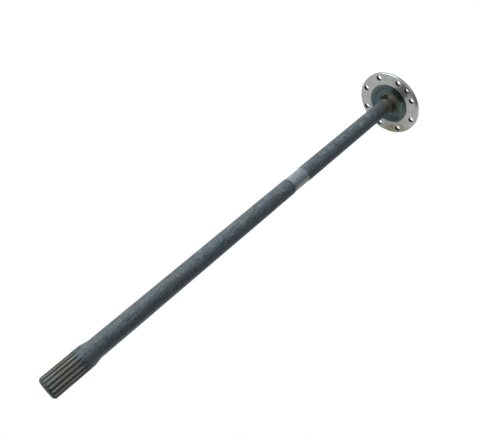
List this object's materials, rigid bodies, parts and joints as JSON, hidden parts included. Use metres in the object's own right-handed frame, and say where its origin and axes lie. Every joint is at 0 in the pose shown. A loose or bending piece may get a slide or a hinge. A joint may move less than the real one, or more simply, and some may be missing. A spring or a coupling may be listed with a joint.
{
  "type": "axle shaft",
  "caption": "Full-floating axle shaft: a long round forging with a splined end, a ground steady band and a dished round flange drilled for studs.",
  "frame": {"origin": "centre of the flat face of the flange's outer boss, on which the shaft stands", "axes": "+Z along the shaft towards the splined end; +X through the first tapped jacking hole"},
  "size_m": [0.165, 0.165, 1.05],
  "materials": {
    "forged_steel": "dark blue-grey forging scale, with machined ring, rim, steady band and splines"
  },
  "bodies": {
    "root": {"axle_shaft": "forged_steel"}
  },
  "joints": []
}
